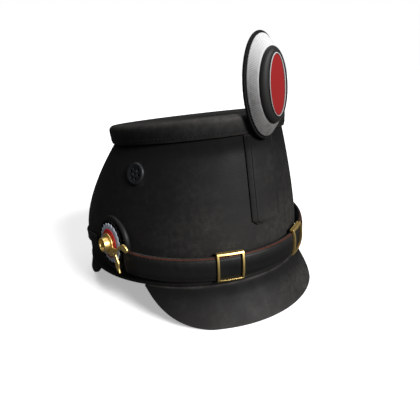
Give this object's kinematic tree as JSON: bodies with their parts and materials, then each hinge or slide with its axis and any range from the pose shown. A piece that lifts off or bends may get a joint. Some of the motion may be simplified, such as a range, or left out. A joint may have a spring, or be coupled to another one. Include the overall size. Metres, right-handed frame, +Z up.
{
  "type": "leather shako hat",
  "caption": "Black leather shako: a bell-shaped body leaning forward, turned-down top, front and rear peaks, brass-fitted chin strap, side cockades and an oval field badge.",
  "frame": {"origin": "on the surface that the hat stands on, below the middle of its box", "axes": "+Z up, the front faces -Y, and the wearer's left is +X"},
  "size_m": [0.1978, 0.2278, 0.2021],
  "materials": {
    "black_leather": "black waxed leather, satin with brown mottling",
    "strap_leather": "smooth black strap leather with a low gloss and brown cut edges",
    "black_cloth": "smooth black cloth over a stiff form",
    "white_cloth": "fine white woven cloth over a stiff form",
    "red_cloth": "fine red woven cloth",
    "black_enamel": "black paint, satin",
    "white_enamel": "off-white paint, satin",
    "red_enamel": "red paint, satin",
    "brass": "polished brass with dull hollows",
    "dark_metal": "blackened metal, satin"
  },
  "bodies": {
    "root": {"crown": "black_leather", "crown_top": "black_leather", "front_peak": "black_leather", "rear_peak": "black_leather", "rear_band": "black_leather", "front_tab": "black_leather", "chin_strap": "strap_leather", "badge_back": "black_cloth", "badge_white": "white_cloth", "badge_black": "black_cloth", "badge_piping": "white_cloth", "badge_red": "red_cloth", "vent_right": "dark_metal", "buckle_right": "brass", "cockade_rim_right": "black_leather", "cockade_black_right": "black_enamel", "cockade_white_right": "white_enamel", "cockade_red_right": "red_enamel", "strap_post_right": "brass", "strap_claw_right": "brass", "vent_left": "dark_metal", "buckle_left": "brass", "cockade_rim_left": "black_leather", "cockade_black_left": "black_enamel", "cockade_white_left": "white_enamel", "cockade_red_left": "red_enamel", "strap_post_left": "brass", "strap_claw_left": "brass"}
  },
  "joints": []
}
